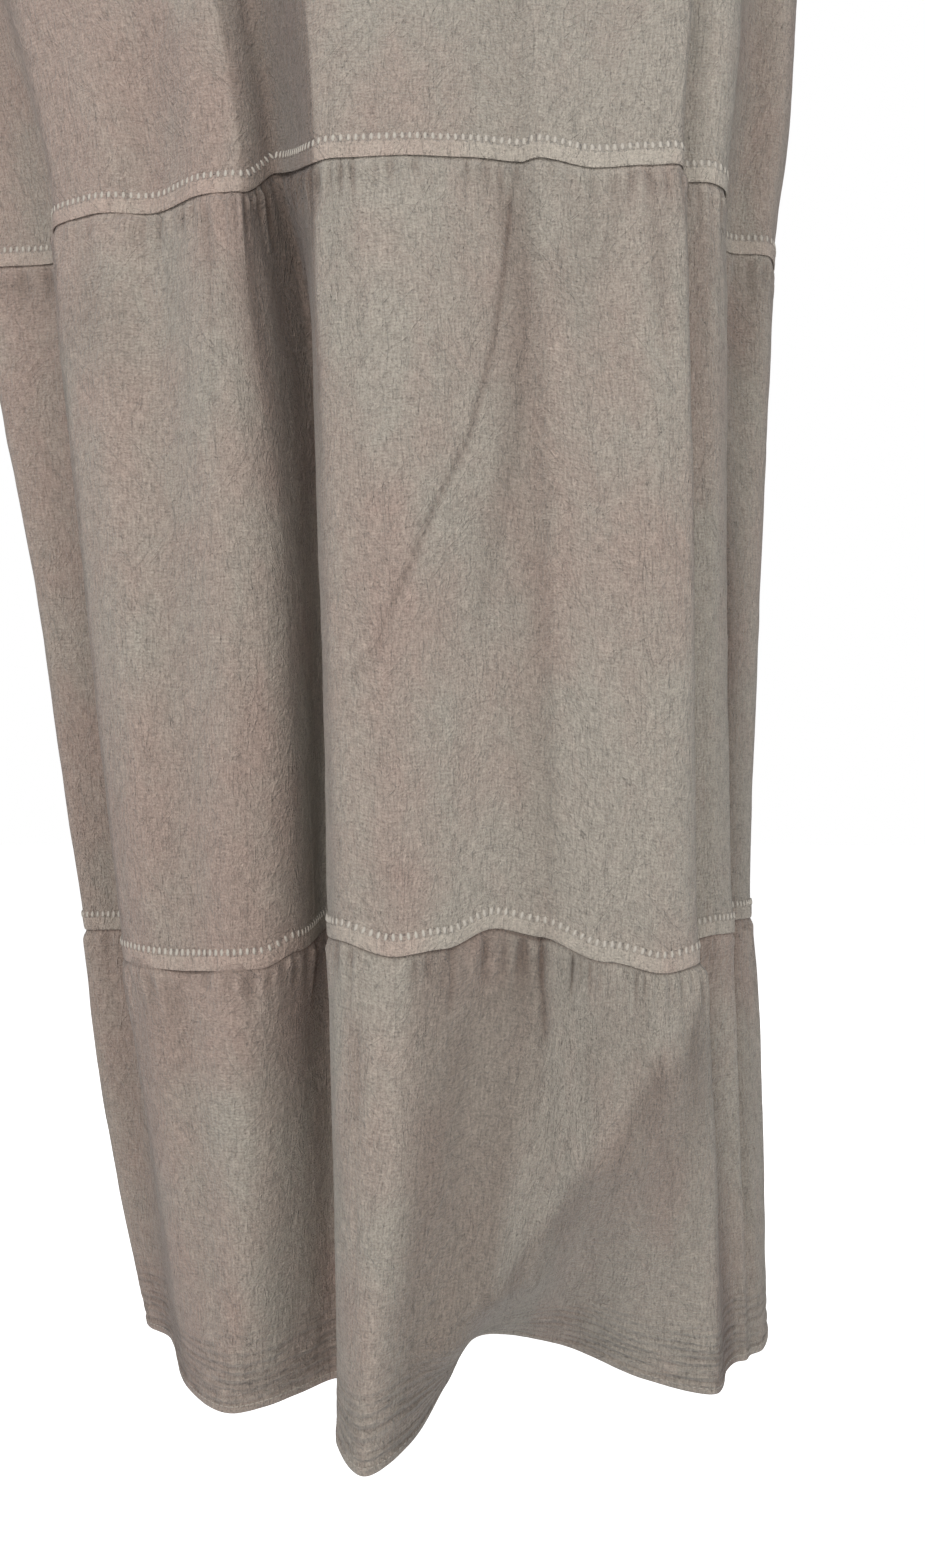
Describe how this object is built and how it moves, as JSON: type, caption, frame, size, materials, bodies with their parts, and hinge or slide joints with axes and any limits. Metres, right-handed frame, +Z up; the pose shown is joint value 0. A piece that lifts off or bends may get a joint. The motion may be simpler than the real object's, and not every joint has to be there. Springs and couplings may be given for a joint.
{
  "type": "tiered maxi dress",
  "caption": "Sleeveless tiered maxi dress in crinkled cotton gauze, body and gathered tiers joined by topstitched cross seams, hanging open and empty in deep folds",
  "frame": {"origin": "Midway between the two shoulder tops at the neck, where the dress is held; the cloth hangs below it.", "axes": "+Z up along the length of the dress, +X towards the right of the picture, front towards -Y."},
  "size_m": [0.5247, 0.3007, 1.3002],
  "materials": {
    "cotton_gauze": "matte"
  },
  "bodies": {
    "root": {"body_front": "cotton_gauze", "body_back": "cotton_gauze", "middle_tier_front": "cotton_gauze", "middle_tier_back": "cotton_gauze", "bottom_tier_front": "cotton_gauze", "bottom_tier_back": "cotton_gauze"}
  },
  "joints": []
}
